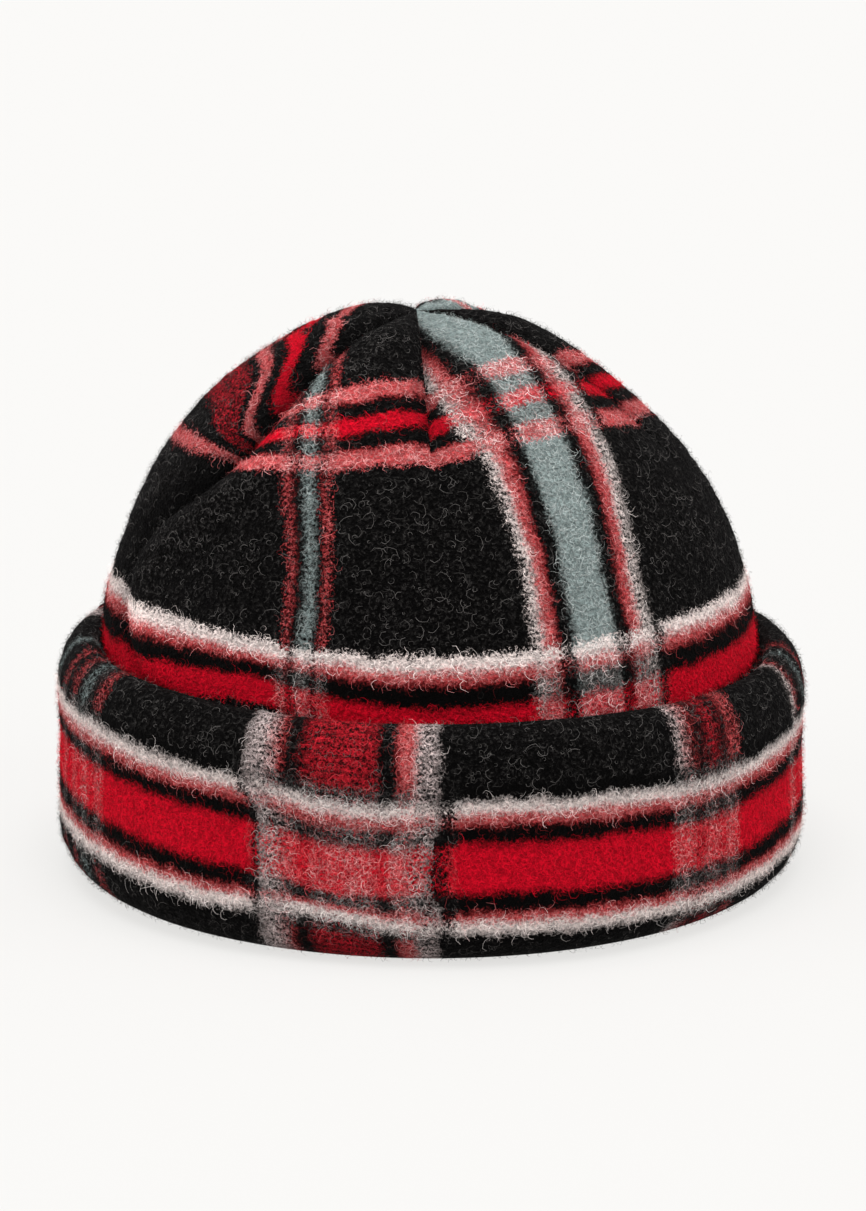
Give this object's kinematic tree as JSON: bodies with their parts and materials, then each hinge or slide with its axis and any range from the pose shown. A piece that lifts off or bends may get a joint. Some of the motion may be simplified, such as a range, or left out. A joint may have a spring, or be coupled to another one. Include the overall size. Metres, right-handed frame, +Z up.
{
  "type": "beanie",
  "caption": "Thick brushed wool beanie: a rounded crown of two darted panels in a woven plaid, with a separate deep double cuff turned up round it.",
  "frame": {"origin": "on the resting plane, under the middle of the cuff", "axes": "+Z up through the crown's apex, -Y toward the front, +X toward the hat's side on the viewer's right"},
  "size_m": [0.2138, 0.208, 0.1605],
  "materials": {
    "crown_front_wool": "brushed wool plaid on a black ground",
    "crown_back_wool": "brushed wool plaid on a black ground",
    "cuff_wool": "brushed wool plaid with a broad red stripe"
  },
  "bodies": {
    "root": {"crown_front_panel": "crown_front_wool", "crown_back_panel": "crown_back_wool", "cuff_band": "cuff_wool"}
  },
  "joints": []
}
